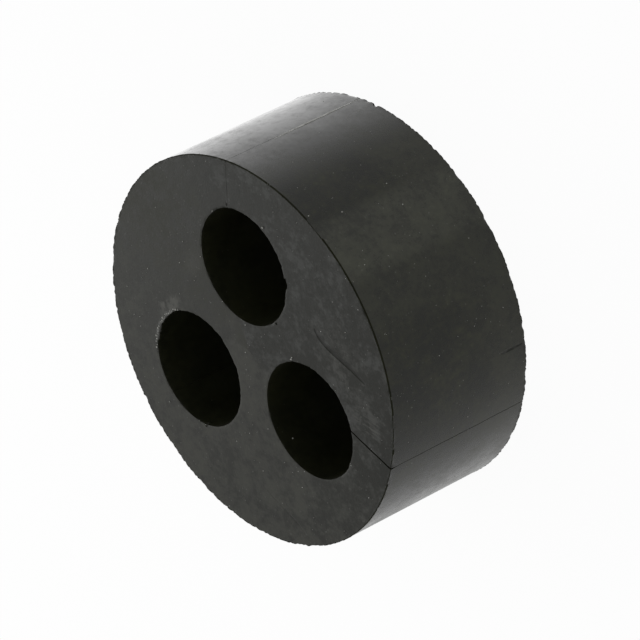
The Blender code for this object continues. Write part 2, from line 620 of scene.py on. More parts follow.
# The ridge along the first slit, from the back rim up
RIDGE_ANGLE = 93.02
RIDGE_HEIGHTS = (0.2, 2.6, 5.0, 7.4)
RIDGE_RADIUS = 0.06
RIDGE_TAPER = 0.9 * RIDGE_RADIUS
RIDGE_SINK = 0.008
RIDGE = [tuple(on_circle(OUTER_RADIUS - RIDGE_SINK, RIDGE_ANGLE, height)) for height in RIDGE_HEIGHTS]

CREASE_RUNS = [face_crease(**crease) for crease in FACE_CREASES]
CREASE_RUNS.append(wall_crease(**WALL_MARK))
for points, radius, depth, _ in CREASE_RUNS:
    print(f"crease: {(Vector(points[3]) - Vector(points[0])).length:.2f} mm long, {depth} mm deep")
print("nicks:", ", ".join(NICKS))

# %% [markdown]
# ## Crumbs
#
# Pale crumbs, like chalk or lint, cling to the rubber. They could be dots in a texture, but the larger ones
# catch the light on one side, so they are small closed grains here. A few dozen are listed one by one where
# they lie on the real insert: on the front face, on the wall, along the lip and one inside a bore. The rest
# are scattered over the front face and the wall with a fixed seed. The flat of the back face has none,
# because the insert lies on it.


# %% Where the crumbs are
# On the front face: place and width
FACE_CRUMBS = (
    (2.33, 9.62, 0.17),
    (-0.21, 1.86, 0.08),
    (-5.74, 5.93, 0.07),
    (-9.56, 2.70, 0.08),
    (-10.24, 1.81, 0.07),
    (-4.91, 3.43, 0.06),
    (-11.43, -1.28, 0.07),
    (-2.47, 9.20, 0.10),
    (-4.08, 5.42, 0.06),
    (-2.30, 2.82, 0.06),
    (5.65, 11.07, 0.06),
    (-0.44, -0.19, 0.07),
    (4.03, 0.90, 0.15),
    (4.10, 1.05, 0.11),
    (1.16, -5.17, 0.08),
    (-2.12, -7.28, 0.06),
    (0.30, -8.57, 0.07),
    (3.25, -7.58, 0.07),
    (4.40, -7.07, 0.06),
    (4.06, -8.36, 0.06),
    (-8.61, -6.75, 0.10),
    (-5.75, -7.10, 0.06),
    (-5.10, -7.17, 0.06),
)

# On the upright walls: place and width. The last one clings inside the third bore
WALL_CRUMBS = (
    (6.42, 11.66, 11.05, 0.08),
    (7.06, 11.28, 8.87, 0.10),
    (8.12, 10.55, 4.81, 0.10),
    (6.68, 11.51, 4.75, 0.07),
    (2.42, -5.78, 10.50, 0.10),
)

# Along the lip: how many, from which angle on, and how far apart
LIP_CRUMBS = 22
LIP_CRUMB_START = LIP_ANGLE - 34.0
LIP_CRUMB_STEP = 3.1

# Where scattered crumbs may lie: outside this radius, or where the surface faces this much upwards
CRUMB_WALL_FROM = OUTER_RADIUS - 0.5
CRUMB_FACE_TILT = 0.9


def lip_crumb(number):
    """One of the tiny crumbs along the lip, with a distance and a width that do not repeat soon."""
    away = BORE_RADIUS + 0.06 + 0.13 * (number * 7 % 5) / 5
    spot = on_circle(away, LIP_CRUMB_START + number * LIP_CRUMB_STEP)
    x, y, _ = by_bore(1, 0.0, 0.0) + Vector(BORE_SHIFTS[1]) + spot
    return x, y, 0.07 + 0.08 * (number * 3 % 4) / 4


CRUMB_SPOTS = FACE_CRUMBS + tuple(lip_crumb(number) for number in range(LIP_CRUMBS))
print(len(CRUMB_SPOTS) + len(WALL_CRUMBS), "placed crumbs")


# %% The group that makes the crumbs
def crumbs_group():
    """Grains on a body: some at given spots of the front face, the others scattered."""
    inputs = {
        "Body": ("geometry",),
        "Density": ("float", 0.17),
        "Smallest": ("float", 0.018),
        "Largest": ("float", 0.038),
        "Seed": ("int", 4),
    }
    tree, given, out = new_tree("Crumbs", "GeometryNodeTree", inputs, {"Crumbs": ("geometry",)})
    grain = tree.field("GeometryNodeMeshIcoSphere", {"Radius": 1.0, "Subdivisions": 1})
    x, y, _ = tree.split(tree.field("GeometryNodeInputPosition"))
    on_wall = (x * x + y * y).math("GREATER_THAN", CRUMB_WALL_FROM ** 2)
    _, _, facing = tree.split(tree.field("GeometryNodeInputNormal"))
    outside = facing.math("GREATER_THAN", CRUMB_FACE_TILT).math("MAXIMUM", on_wall)
    fills = {"Mesh": given["Body"], "Selection": outside, "Density": given["Density"], "Seed": given["Seed"]}
    points = tree.field("GeometryNodeDistributePointsOnFaces", fills)
    chance = tree.field("FunctionNodeRandomValue", {"Seed": given["Seed"]}, output=1, data_type="FLOAT")
    size = given["Smallest"] + (chance ** 3.0) * (given["Largest"] - given["Smallest"])

    # A scattered grain is turned by where it lies, so that no two stand alike
    turn = tree.vector("SCALE", tree.field("GeometryNodeInputPosition"))
    turn.socket.node.inputs["Scale"].default_value = 5.0
    fills = {"Points": points, "Instance": grain, "Scale": tree.join(size, size, size), "Rotation": turn}
    crumbs = tree.add("GeometryNodeJoinGeometry")
    tree.plug(crumbs.inputs[0], tree.field("GeometryNodeInstanceOnPoints", fills))

    # The placed grains on the front face are sunk by about a third and a little flat
    for x, y, width in CRUMB_SPOTS:
        half = width / 2
        fills = {
            "Geometry": grain,
            "Translation": (x, y, THICKNESS + half * 0.3),
            "Rotation": (x, y, 0.0),
            "Scale": (half, half * 1.2, half * 0.8),
        }
        tree.plug(crumbs.inputs[0], tree.field("GeometryNodeTransform", fills))
    for x, y, height, width in WALL_CRUMBS:
        half = width / 2
        fills = {"Geometry": grain, "Translation": (x, y, height), "Scale": (half, half, half * 1.3)}
        tree.plug(crumbs.inputs[0], tree.field("GeometryNodeTransform", fills))
    grains = tree.field("GeometryNodeRealizeInstances", {0: Field(tree, crumbs.outputs[0])})
    tree.plug(out.inputs["Crumbs"], grains)
    return tree.group


CRUMBS = crumbs_group()
print("made the group", CRUMBS.name)

# %% [markdown]
# ## Putting the insert together
#
# The last tree takes the body and subtracts the blades, creases and nicks in one Boolean. The parts
# get their materials first, because a Boolean keeps them: what the cutters leave behind is fresh cut
# rubber, and it looks different from the dusty faces. The exact solver copes with most meshes but is
# slow, and the manifold solver is fast but wants closed meshes, which all of these are. The crumbs and
# the ridge are only joined on, because the fast solver mixes up the materials when it unites.
#
# The outer rims have a finish of their own, a thin dark line, which is painted shade along the worn rim. The
# line is wider here and there on the wall's side of the front rim.


# %% The finishes by name, and where they begin
FINISH_NAMES = (
    "rubber_face",
    "rubber_wall",
    "rubber_bore",
    "rubber_rim_shade",
    "rubber_cut",
    "rubber_lip_highlight",
    "pale_crumb",
    "ridge_highlight",
    "crease_shade",
)
FINISHES = {name: bpy.data.materials.new(name) for name in FINISH_NAMES}

# The wall is outside this radius, and the faces are tilted less than the walls
WALL_FROM = OUTER_RADIUS - 0.4
FACE_TILT = 0.6

# How wide a rim's line of painted shade is, how much wider it is in places, and how much of a lip counts as
# one
RIM_SHADE_WIDTH = 0.04
RIM_SHADE_EXTRA = 0.05
LIP_SHARE = 0.3
print(len(FINISHES), "finishes")


# %% The group that makes the whole insert
def insert_group():
    """The whole insert in metres, with its cuts, its marks and its finishes."""
    inputs = {"Wander": ("float", 0.04), "Slit Height": ("float", THICKNESS + 1.0)}
    for index in range(BORE_COUNT):
        inputs[f"Slit {index + 1} Start"] = ("vector", (0.0, 0.0, 0.0))
        inputs[f"Slit {index + 1} End"] = ("vector", (1.0, 0.0, 0.0))
        inputs[f"Slit {index + 1} Face Width"] = ("float", 0.05)
        inputs[f"Slit {index + 1} Wall Width"] = ("float", 0.05)
    tree, given, out = new_tree("Sealing Insert", "GeometryNodeTree", inputs, {"Insert": ("geometry",)})

    def bent_tube(points, radius, depth):
        fills = dict(zip(("Start", "Start Handle", "End Handle", "End"), points))
        fills.update({"Radius": radius, "Depth": depth})
        return tree.field("GeometryNodeGroup", fills, node_tree=CREASE)

    def finished(geometry, finish, selection=True):
        fills = {"Geometry": geometry, "Selection": selection, "Material": FINISHES[finish]}
        return tree.field("GeometryNodeSetMaterial", fills)

    # The body, in its finishes
    body = tree.field("GeometryNodeGroup", node_tree=BODY)
    body = finished(body, "rubber_bore")
    place = tree.field("GeometryNodeInputPosition")
    x, y, level = tree.split(place)
    from_axis = (x * x + y * y).math("SQRT")
    _, _, facing = tree.split(tree.field("GeometryNodeInputNormal"))
    on_outside = from_axis.math("GREATER_THAN", WALL_FROM)
    on_face = facing.math("ABSOLUTE").math("GREATER_THAN", FACE_TILT)
    rim = tree.field("GeometryNodeInputNamedAttribute", {"Name": "rim"})
    wear = tree.field("GeometryNodeInputNamedAttribute", {"Name": "wear"})
    in_front = level.math("GREATER_THAN", THICKNESS / 2)
    # A line of painted shade along the outer rims, wider in places on the wall's side of the front rim
    wider = tree.ramp(tree.noise(place, 0.5, detail=1.0), 0.38, 0.44) * (1.0 - on_face) * in_front
    rim_shade_width = wider * RIM_SHADE_EXTRA + RIM_SHADE_WIDTH
    on_rim_shade = rim.math("LESS_THAN", rim_shade_width) * wear.math("GREATER_THAN", RIM_WEAR)
    # The lip gets a pale finish, a painted highlight along its edge
    lip = tree.field("GeometryNodeInputNamedAttribute", {"Name": "lip"})
    on_lip_highlight = lip.math("GREATER_THAN", LIP_SHARE)
    choices = (
        (on_outside, "rubber_wall"),
        (on_face, "rubber_face"),
        (on_rim_shade, "rubber_rim_shade"),
        (on_lip_highlight, "rubber_lip_highlight"),
    )
    for selection, finish in choices:
        body = finished(body, finish, selection)

    # The cutters
    cutters = []
    for index in range(BORE_COUNT):
        start = given[f"Slit {index + 1} Start"]
        end = given[f"Slit {index + 1} End"]
        run = tree.vector("SUBTRACT", end, start)
        run_x, run_y, _ = tree.split(run)
        length = tree.vector("LENGTH", run, output="Value") + 2.0 * SLIT_OVERRUN
        fills = {
            "Length": length,
            "Height": given["Slit Height"],
            "Face Width": given[f"Slit {index + 1} Face Width"],
            "Wall Width": given[f"Slit {index + 1} Wall Width"],
            "Wander": given["Wander"],
            "Seed": 7.0 * index,
        }
        blade = tree.field("GeometryNodeGroup", fills, node_tree=BLADE)
        middle = tree.vector("MULTIPLY", tree.vector("ADD", start, end), (0.5, 0.5, 0.5))
        middle = tree.vector("ADD", middle, (0.0, 0.0, THICKNESS / 2))
        turn = tree.join(0.0, 0.0, run_y.math("ARCTAN2", run_x))
        fills = {"Geometry": blade, "Translation": middle, "Rotation": turn}
        blade = tree.field("GeometryNodeTransform", fills)
        cutters.append(finished(blade, "rubber_cut"))
    for points, radius, depth, finish in CREASE_RUNS:
        cutters.append(finished(bent_tube(points, radius, depth), finish))
    for centre, size in NICKS.values():
        nick = tree.field("GeometryNodeGroup", {"Centre": centre, "Size": size}, node_tree=NICK)
        cutters.append(finished(nick, "rubber_cut"))

    # One Boolean for all of them
    cut = tree.add("GeometryNodeMeshBoolean", {"Mesh 1": body}, operation="DIFFERENCE", solver="MANIFOLD")
    for cutter in cutters:
        tree.plug(cut.inputs["Mesh 2"], cutter)

    # The crumbs sit on the uncut body, partly sunk, and a thin ridge with a painted highlight stands along
    # the first slit
    crumbs = tree.field("GeometryNodeGroup", {"Body": body}, node_tree=CRUMBS)
    crumbs = finished(crumbs, "pale_crumb")
    ridge = bent_tube(RIDGE, RIDGE_RADIUS, RIDGE_TAPER)
    ridge = finished(ridge, "ridge_highlight")
    both = tree.add("GeometryNodeJoinGeometry")
    for part in (crumbs, ridge, Field(tree, cut.outputs["Mesh"])):
        tree.plug(both.inputs[0], part)
    insert = Field(tree, both.outputs[0])
    insert = tree.field("GeometryNodeSetShadeSmooth", {"Geometry": insert, "Shade Smooth": True})
    insert = tree.field("GeometryNodeTransform", {"Geometry": insert, "Scale": (MM, MM, MM)})
    insert = tree.field("GeometryNodeRealizeInstances", {0: insert})
    tree.plug(out.inputs["Insert"], insert)
    return tree.group


INSERT = insert_group()
print("made the group", INSERT.name)

# %% [markdown]
# ## Running the tree
#
# A Geometry Nodes tree only makes something when a modifier on an object runs it. The function below
# does the whole round: an empty mesh, a modifier, its inputs by identifier, one evaluation, and the
# result taken out as a plain mesh, so that no live modifier stays on the piece.


# %% From a tree to a plain mesh object
def run_tree(name, group, values):
    """An object with the plain mesh that a tree makes."""
    obj = bpy.data.objects.new(name, bpy.data.meshes.new(name + "_start"))
    bpy.context.scene.collection.objects.link(obj)
    modifier = obj.modifiers.new(group.name, "NODES")
    modifier.node_group = group
    for item in group.interface.items_tree:
        if item.in_out == "INPUT" and item.name in values:
            modifier[item.identifier] = values[item.name]
    depsgraph = bpy.context.evaluated_depsgraph_get()
    mesh = bpy.data.meshes.new_from_object(obj.evaluated_get(depsgraph), depsgraph=depsgraph)
    obj.modifiers.clear()
    obj.data = mesh
    mesh.name = name
    return obj


slit_values = {}
for index in range(BORE_COUNT):
    start, end = slit_ends(index)
    slit_values[f"Slit {index + 1} Start"] = tuple(start)
    slit_values[f"Slit {index + 1} End"] = tuple(end)
    slit_values[f"Slit {index + 1} Face Width"] = SLIT_FACE_WIDTHS[index]
    slit_values[f"Slit {index + 1} Wall Width"] = SLIT_WALL_WIDTHS[index]
insert = run_tree("rubber_insert", INSERT, slit_values)
print("insert:", len(insert.data.vertices), "vertices,", len(insert.data.polygons), "faces")

# %% [markdown]
# ## Sharp and smooth
#
# Shading has to be smooth across the walls and broken at the rims and the cuts. An angle does most of
# it. The flats of the two faces are long thin triangles, which smooth shading would streak, so they
# stay flat.

# %% Shading and finishes of the mesh
SHARP_ANGLE = 50.0
LEVEL = 0.9999
insert.data.set_sharp_from_angle(angle=radians(SHARP_ANGLE))
for face in insert.data.polygons:
    face.use_smooth = abs(face.normal.z) < LEVEL

# A slot without a material has no use
for number in reversed(range(len(insert.data.materials))):
    if insert.data.materials[number] is None:
        users = sum(face.material_index == number for face in insert.data.polygons)
        print("empty slot", number, "used by", users, "faces")
        insert.data.materials.pop(index=number)
print("finishes:", [material.name for material in insert.data.materials])
print("triangles:", sum(len(face.vertices) - 2 for face in insert.data.polygons))

# %% [markdown]
# ## Dust, specks and grain
#
# Black rubber is never just black. A thin film of dust lies on it in clouds, pale specks cling to it, and the
# surface itself has a fine grain. All the finishes share those three, each with its own amounts, so each is a
# node group. Two more groups say where the rubber is made lighter: on one side of the wall or the face, which
# on the wall is painted reflection and sheen, and in oval patches of dust. A group here only puts out masks
# and heights, and the material decides what to do with them. The patterns are read from Object coordinates,
# so they are solid and need no unwrapping.


# %% The shader groups
def dust_film_group():
    """Clouds of dust: a mask that is 0 on clean rubber and 1 where the film is thickest."""
    inputs = {
        "Vector": ("vector",),
        "Cloud Size": ("float", 3.0),
        "Fine Size": ("float", 0.5),
        "Contrast": ("float", 1.0),
    }
    tree, given, out = new_tree("Dust Film", "ShaderNodeTree", inputs, {"Mask": ("float",)})
    cloud_scale = 1.0 / given["Cloud Size"]
    clouds = tree.noise(given["Vector"], cloud_scale, detail=4.0, roughness=0.55, distortion=0.4)
    fine = tree.noise(given["Vector"], 1.0 / given["Fine Size"], detail=3.0, roughness=0.6)
    mixed = (clouds - 0.5) * 1.5 + (fine - 0.5) * 1.3
    tree.plug(out.inputs["Mask"], (mixed * given["Contrast"] + 0.5).clamped())
    return tree.group


def pale_specks_group():
    """Scattered specks: a mask with small round spots, of which only some cells have one."""
    inputs = {
        "Vector": ("vector",),
        "Spacing": ("float", 0.5),
        "Size": ("float", 0.06),
        "Share": ("float", 0.3),
    }
    tree, given, out = new_tree("Pale Specks", "ShaderNodeTree", inputs, {"Mask": ("float",)})
    fills = {"Vector": given["Vector"], "Scale": 1.0 / given["Spacing"], "Randomness": 1.0}
    cells = tree.add("ShaderNodeTexVoronoi", fills)
    distance = Field(tree, cells.outputs["Distance"]) * given["Spacing"]
    pick, strength, size = tree.split(Field(tree, cells.outputs["Color"]))
    radius = given["Size"] * (size * 0.8 + 0.3)
    spot = (1.0 - distance / radius).clamped() * 2.0
    chosen = pick.math("LESS_THAN", given["Share"])
    tree.plug(out.inputs["Mask"], (spot * chosen * (strength * 0.8 + 0.2)).clamped())
    return tree.group


def rubber_grain_group():
    """The grain of the surface: a height for the bump, and the same grain as a mask."""
    inputs = {"Vector": ("vector",), "Grain Size": ("float", 0.12), "Wave Size": ("float", 1.5)}
    outputs = {"Height": ("float",), "Mask": ("float",)}
    tree, given, out = new_tree("Rubber Grain", "ShaderNodeTree", inputs, outputs)
    grain = tree.noise(given["Vector"], 1.0 / given["Grain Size"], detail=3.0, roughness=0.6)
    waves = tree.noise(given["Vector"], 1.0 / given["Wave Size"], detail=2.0)
    tree.plug(out.inputs["Height"], grain + waves * 2.0)
    tree.plug(out.inputs["Mask"], grain)
    return tree.group


def side_mask_group():
    """One side of the wall: 1 within an inner angle of a direction, and 0 beyond an outer one."""
    inputs = {
        "Vector": ("vector",),
        "Direction": ("float", 0.0),
        "Inner": ("float", 0.9),
        "Outer": ("float", 0.5),
    }
    tree, given, out = new_tree("Side Mask", "ShaderNodeTree", inputs, {"Mask": ("float",)})
    x, y, _ = tree.split(given["Vector"])
    away = (x * x + y * y).math("SQRT")
    heading = given["Direction"].math("RADIANS")
    toward = (x * heading.math("COSINE") + y * heading.math("SINE")) / away
    tree.plug(out.inputs["Mask"], tree.ramp(toward, given["Outer"], given["Inner"]))
    return tree.group


def dust_patch_group():
    """One oval patch of dust with a ragged edge, which may be streaky along its length."""
    inputs = {
        "Vector": ("vector",),
        "Centre X": ("float", 0.0),
        "Centre Y": ("float", 0.0),
        "Length": ("float", 1.0),
        "Width": ("float", 0.5),
        "Turn": ("float", 0.0),
        "Streaks": ("float", 0.0),
    }
    tree, given, out = new_tree("Dust Patch", "ShaderNodeTree", inputs, {"Mask": ("float",)})
    x, y, _ = tree.split(given["Vector"])
    x = x - given["Centre X"]
    y = y - given["Centre Y"]
    heading = given["Turn"].math("RADIANS")
    along = x * heading.math("COSINE") + y * heading.math("SINE")
    across = y * heading.math("COSINE") - x * heading.math("SINE")
    oval = ((along / given["Length"]) ** 2.0 + (across / given["Width"]) ** 2.0).math("SQRT")
    ragged = oval + (tree.noise(given["Vector"], 0.9, detail=4.0, roughness=0.65) - 0.5) * 1.3
    patch = tree.ramp(ragged, 1.0, 0.1)
    lines = tree.ramp(tree.noise(tree.join(along * 0.35, across * 4.0, 0.0), 1.6, detail=2.0), 0.45, 0.62)
    tree.plug(out.inputs["Mask"], patch * (1.0 + given["Streaks"] * (lines - 1.0)))
    return tree.group


DUST_FILM = dust_film_group()
DUST_PATCH = dust_patch_group()
PALE_SPECKS = pale_specks_group()
RUBBER_GRAIN = rubber_grain_group()
SIDE_MASK = side_mask_group()
SHADER_GROUPS = (DUST_FILM, DUST_PATCH, PALE_SPECKS, RUBBER_GRAIN, SIDE_MASK)
print("shader groups:", [group.name for group in SHADER_GROUPS])

# %% [markdown]
# ## The finishes
#
# What makes rubber look like rubber is that it is black underneath and still reflects as much as any
# plastic: the wall goes from near black, where it faces the eye, to pale grey, where it turns away.
# So the base colour is nearly black, the reflection is left to the shader, and only the dust is pale, except
# where reflection, sheen, highlights and shade are painted in.
# The outer wall is smoother than the faces, the cuts are matt and the bores nearly free of dust. The
# slits look darkest because little light gets into them.
#
# One side of the wall shines more than the rest, so it gets a coat and a paler colour, which is painted
# sheen, with a mask that fades out round the wall. A second material would do that too, but its border would
# show.


# %% A finish from the groups
WHITE = (1.0, 1.0, 1.0, 1.0)
PATCH_DUST = (0.060, 0.060, 0.053, 1.0)
SPECK_COLOUR = (0.5, 0.5, 0.48, 1.0)

# The shares of a side's or the back's colour where the film is thinnest and where it is thickest
THIN_FILM_SHARE = 0.55
THICK_FILM_SHARE = 1.45

# The heights in millimetres from which the wall's painted reflection towards the back rim starts, and where
# it is full
BACK_REFLECTION_TOP = 6.0
BACK_REFLECTION_FULL = 0.5

# How high the grain of the bump is, in metres
GRAIN_HEIGHT = 0.00002


def mix_colours(tree, factor, a, b):
    """One colour over another, by a mask."""
    node = tree.add("ShaderNodeMix", {0: factor, 6: a, 7: b}, data_type="RGBA")
    return Field(tree, node.outputs[2])


def uneven(tree, film, dust):
    """A lighter colour for a side or the back, darker where the film is thin and lighter where it is thick.
    """
    darker, lighter = ([channel * share for channel in dust[:3]] + [1.0] for share in (THIN_FILM_SHARE, THICK_FILM_SHARE))
    return mix_colours(tree, film, darker, lighter)


def rubber_finish(name, look):
    """Fill in one finish of the rubber."""
    material = FINISHES[name]
    material.use_nodes = True
    group = material.node_tree
    shader = group.nodes["Principled BSDF"]
    tree = Tree(group)
    place = tree.field("ShaderNodeTexCoord", output="Object")
    place = tree.vector("SCALE", place)
    place.socket.node.inputs["Scale"].default_value = 1.0 / MM
    fills = {"Vector": place, "Cloud Size": look["cloud"], "Fine Size": look["fine"]}
    fills["Contrast"] = look["contrast"]
    film = tree.field("ShaderNodeGroup", fills, node_tree=DUST_FILM)
    fills = {"Vector": place, "Spacing": look["spacing"], "Size": look["speck"], "Share": look["share"]}
    specks = tree.field("ShaderNodeGroup", fills, node_tree=PALE_SPECKS)
    fills.update({"Spacing": look["fine_spacing"], "Size": look["fine_speck"]})
    fine_specks = tree.field("ShaderNodeGroup", fills, node_tree=PALE_SPECKS)
    fills = {"Vector": place, "Grain Size": look["grain"], "Wave Size": look["wave"]}
    grain = tree.add("ShaderNodeGroup", fills, node_tree=RUBBER_GRAIN)
    bumps = Field(tree, grain.outputs["Height"])
    mask = Field(tree, grain.outputs["Mask"])

    colour = mix_colours(tree, film ** look["power"], look["clean"], look["dusty"])
    roughness = film * look["film_roughness"] + (mask - 0.5) * 0.1 + look["roughness"]
    # The wall is made lighter towards the back rim, a painted reflection
    if "back" in look:
        _, _, height_up = tree.split(place)
        back_reflection = tree.ramp(height_up, BACK_REFLECTION_TOP, BACK_REFLECTION_FULL) * (film * 0.8 + 0.6)
        colour = mix_colours(tree, back_reflection.clamped(), colour, uneven(tree, film, look["back"]))
    # Each side makes the colour lighter there; on the wall this is painted reflection and sheen
    for direction, inner, outer, dust, smoother, coat in look["sides"]:
        fills = {"Vector": place, "Direction": direction}
        fills.update({"Inner": cos(radians(inner)), "Outer": cos(radians(outer))})
        side = tree.field("ShaderNodeGroup", fills, node_tree=SIDE_MASK)
        side_share = (side * (film * 0.7 + 0.65)).clamped()
        colour = mix_colours(tree, side_share, colour, uneven(tree, film, dust))
        roughness = roughness - side * smoother
        if coat:
            tree.plug(shader.inputs["Coat Weight"], (side * coat * (1.25 - film * 0.8)).clamped())
            shader.inputs["Coat Roughness"].default_value = look["coat_roughness"]
    for middle, length, width, turn, amount, streaks in look["patches"]:
        fills = {"Vector": place, "Centre X": middle[0], "Centre Y": middle[1]}
        fills.update({"Length": length, "Width": width, "Turn": turn, "Streaks": streaks})
        patch = tree.field("ShaderNodeGroup", fills, node_tree=DUST_PATCH)
        lying = (patch * amount * (film * 1.7 - 0.2)).clamped()
        colour = mix_colours(tree, lying, colour, PATCH_DUST)
    colour = mix_colours(tree, specks * look["speck_strength"], colour, SPECK_COLOUR)
    colour = mix_colours(tree, fine_specks * look["fine_strength"], colour, SPECK_COLOUR)
    tree.plug(shader.inputs["Base Color"], colour)
    tree.plug(shader.inputs["Roughness"], roughness)
    bump = tree.add("ShaderNodeBump", {"Strength": look["bump"], "Distance": GRAIN_HEIGHT, "Height": bumps})
    group.links.new(bump.outputs["Normal"], shader.inputs["Normal"])
    shader.inputs["IOR"].default_value = look["ior"]
    shader.inputs["Specular Tint"].default_value = look["tint"]


# %% [markdown]
# ## Where more dust lies, and where reflection and sheen are painted
#
# Dust does not settle evenly. Here it lies in a few ovals beside the bores, one of them wiped into streaks.
# The wall is lighter in bands on some of its sides, which is painted reflection, and one side of it is
# lighter still, which is painted sheen; the face is made lighter towards two of its sides. A painted mask
# would put each in its exact place, but a direction with two angles, or an oval with a ragged edge, is enough
# for the eye and stays a handful of numbers.


# %% Sides and patches
def lighter_side(direction, inner, outer, dust, smoother=0.0, coat=0.0):
    """One side's lighter colour and gloss. The lighter colour is full within the inner angle of the direction
    and gone beyond the outer one. The side may be smoother than the rest and may have a coat.
    """
    return direction, inner, outer, dust, smoother, coat


def dusty_patch(middle, length, width, turn, amount, streaks=0.0):
    """An oval patch on the front face: middle, half length and half width, turn, and how dusty."""
    return middle, length, width, turn, amount, streaks


# The face is made lighter towards these two sides
FACE_SIDES = (
    lighter_side(138.6, 6.0, 38.0, (0.0150, 0.0155, 0.0115, 1.0)),
    lighter_side(244.5, 15.0, 110.0, (0.0255, 0.0260, 0.0215, 1.0)),
)
FACE_PATCHES = (
    dusty_patch((-7.7, 0.6), 2.4, 0.9, 34.0, 1.00),
    dusty_patch((-5.0, 4.6), 1.8, 1.0, 60.0, 0.30),
    dusty_patch((9.3, 2.2), 4.6, 2.6, -48.0, 0.32),
    dusty_patch((11.1, -1.4), 2.2, 1.4, -8.0, 0.70, streaks=1.0),
    dusty_patch((-1.5, 1.2), 1.8, 0.8, 70.0, 0.20),
)
# The lighter bands at 40, 48 and -46.5 degrees are painted reflection; the side at 140 degrees gets painted
# sheen in its colour as well as its coat
WALL_SIDES = (
    lighter_side(40.0, 2.0, 21.0, (0.0170, 0.0182, 0.0105, 1.0)),
    lighter_side(48.0, 4.0, 11.5, (0.0315, 0.0330, 0.0230, 1.0)),
    lighter_side(-46.5, 3.0, 6.5, (0.040, 0.0415, 0.0340, 1.0)),
    lighter_side(140.0, 40.0, 72.0, (0.0235, 0.0238, 0.0222, 1.0), smoother=0.12, coat=1.0),
)
print(len(FACE_SIDES) + len(WALL_SIDES), "lighter sides and", len(FACE_PATCHES), "dusty patches")

# %% [markdown]
# ## What the numbers of a finish do
#
# Each finish is a short list of amounts, and all of them start from the face's list. `clean` and
# `dusty` are the colours without a film and under the thickest one, and `power` makes the thickest
# clouds stand out. `cloud` and `fine` are the sizes of the clouds and of their ragged edges, `spacing`
# and `speck` those of the specks, and `grain` and `wave` those of the bump, all in millimetres.
# `share` says how many of the places for a speck have one. `film_roughness` is what the film adds to
# the roughness. `ior` sets how much the rubber reflects, and `tint` what colour that reflection has.

# %% The finishes
FACE_LOOK = {
    "clean": (0.0020, 0.0025, 0.0003, 1.0),
    "dusty": (0.0385, 0.0397, 0.0372, 1.0),
    "tint": (0.960, 0.966, 0.908, 1.0),
    "power": 2.1,
    "cloud": 2.0,
    "fine": 0.40,
    "contrast": 1.8,
    "spacing": 0.6,
    "speck": 0.06,
    "share": 0.30,
    "speck_strength": 0.25,
    "fine_spacing": 0.2,
    "fine_speck": 0.05,
    "fine_strength": 0.12,
    "sides": FACE_SIDES,
    "patches": FACE_PATCHES,
    "grain": 0.12,
    "wave": 1.2,
    "roughness": 0.50,
    "film_roughness": 0.12,
    "bump": 0.5,
    "ior": 1.33,
}
WALL_LOOK = dict(
    FACE_LOOK,
    contrast=1.1,
    clean=(0.0020, 0.0028, 0.0002, 1.0),
    dusty=(0.0195, 0.0208, 0.0085, 1.0),
    patches=(),
    power=2.0,
    ior=1.35,
    # The back colour is painted reflection towards the back rim
    back=(0.0165, 0.0173, 0.0100, 1.0),
    tint=WHITE,
    roughness=0.215,
    film_roughness=0.16,
    bump=0.25,
    coat_roughness=0.10,
    sides=WALL_SIDES,
)
BORE_LOOK = dict(
    FACE_LOOK,
    power=1.0,
    ior=1.37,
    sides=(),
    clean=(0.0050, 0.0055, 0.0014, 1.0),
    dusty=(0.0100, 0.0108, 0.0030, 1.0),
    patches=(),
    tint=WHITE,
    share=0.02,
    roughness=0.45,
    film_roughness=0.05,
)
CUT_LOOK = dict(BORE_LOOK, share=0.0, roughness=0.6)
# The rim's dark finish is painted shade along the worn outer rims
RIM_SHADE_LOOK = dict(CUT_LOOK, roughness=0.7, ior=1.2)
# The lip's pale finish is a painted highlight
LIP_HIGHLIGHT_LOOK = dict(CUT_LOOK, clean=(0.045, 0.045, 0.041, 1.0), dusty=(0.120, 0.120, 0.111, 1.0))
CRUMB_LOOK = dict(CUT_LOOK, clean=(0.22, 0.22, 0.20, 1.0), dusty=(0.50, 0.50, 0.47, 1.0))
# The ridge's pale finish is a painted highlight
RIDGE_HIGHLIGHT_LOOK = dict(CUT_LOOK, clean=(0.33, 0.33, 0.31, 1.0), dusty=(0.57, 0.57, 0.55, 1.0))
# The crease's darker finish is painted shade
CREASE_SHADE_LOOK = dict(FACE_LOOK, dusty=(0.0190, 0.0196, 0.0180, 1.0), patches=(), sides=(), share=0.0)
LOOKS = (FACE_LOOK, WALL_LOOK, BORE_LOOK, RIM_SHADE_LOOK, CUT_LOOK, LIP_HIGHLIGHT_LOOK, CRUMB_LOOK, RIDGE_HIGHLIGHT_LOOK, CREASE_SHADE_LOOK)

for name, look in zip(FINISH_NAMES, LOOKS):
    rubber_finish(name, look)
    print("finish", name, "with roughness", look["roughness"])

# %% [markdown]
# ## The floor and the light
#
# The insert was photographed on plain white, so here it lies on a plain white floor under a plain
# white sky. Black rubber shows little but reflections, which makes the surroundings part of the
# material: the white all round gives the wall its pale edges. To the camera and to reflections the
# floor is partly white by itself, so the background stays clean, and the rest of it is an ordinary
# matt white that keeps the insert's shadow. One soft square lamp stands across from the camera, low
# enough for the front face to catch a faint sheen from it.


# %% The floor
def make_floor(size=3.0, drop=0.00002):
    """A square floor just below the insert."""
    mesh = bpy.data.meshes.new("floor")
    half = size / 2
    corners = [(-half, -half, -drop), (half, -half, -drop), (half, half, -drop), (-half, half, -drop)]
    mesh.from_pydata(corners, [], [(0, 1, 2, 3)])
    floor = bpy.data.objects.new("floor", mesh)
    bpy.context.scene.collection.objects.link(floor)
    return floor


FLOOR_WHITE = (0.90, 0.90, 0.90, 1.0)
FLOOR_GLOW = 0.95

# The floor's own white begins under the insert's edge, so that the floor under the bores stays dark
GLOW_START = OUTER_RADIUS - 1.5
GLOW_FULL = OUTER_RADIUS - 0.3


